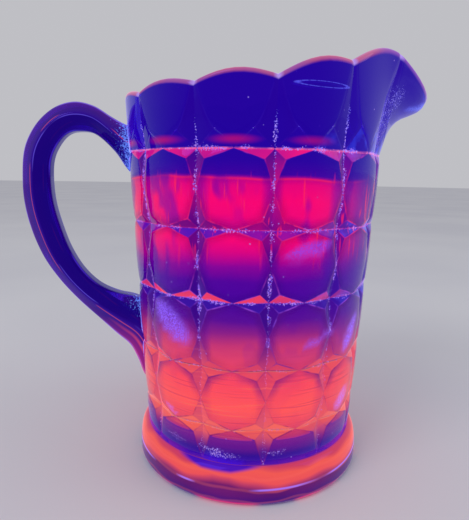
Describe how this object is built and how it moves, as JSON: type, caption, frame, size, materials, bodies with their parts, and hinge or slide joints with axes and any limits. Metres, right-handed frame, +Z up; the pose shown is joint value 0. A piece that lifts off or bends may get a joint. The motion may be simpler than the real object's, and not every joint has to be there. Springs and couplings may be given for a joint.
{
  "type": "pressed glass pitcher",
  "caption": "Tall pressed glass pitcher in a cube pattern, with a scalloped rim, a pulled pouring spout, a looped side handle and a thick round foot.",
  "frame": {"origin": "centre of the flat ground underside of the foot, on the axis of the bowl", "axes": "+Z up along the axis of the bowl, +X towards the pouring spout, -X towards the handle"},
  "size_m": [0.2115, 0.134, 0.2112],
  "materials": {
    "body_glass": "pressed and fire-polished selenium glass, violet at the collar, magenta in the middle and orange low down under ultraviolet light",
    "foot_glass": "thick polished glass that glows orange under ultraviolet light",
    "handle_glass": "fire-polished glass, dark violet with salmon edges"
  },
  "bodies": {
    "root": {"pressed_body": "body_glass", "foot": "foot_glass", "handle": "handle_glass"}
  },
  "joints": []
}
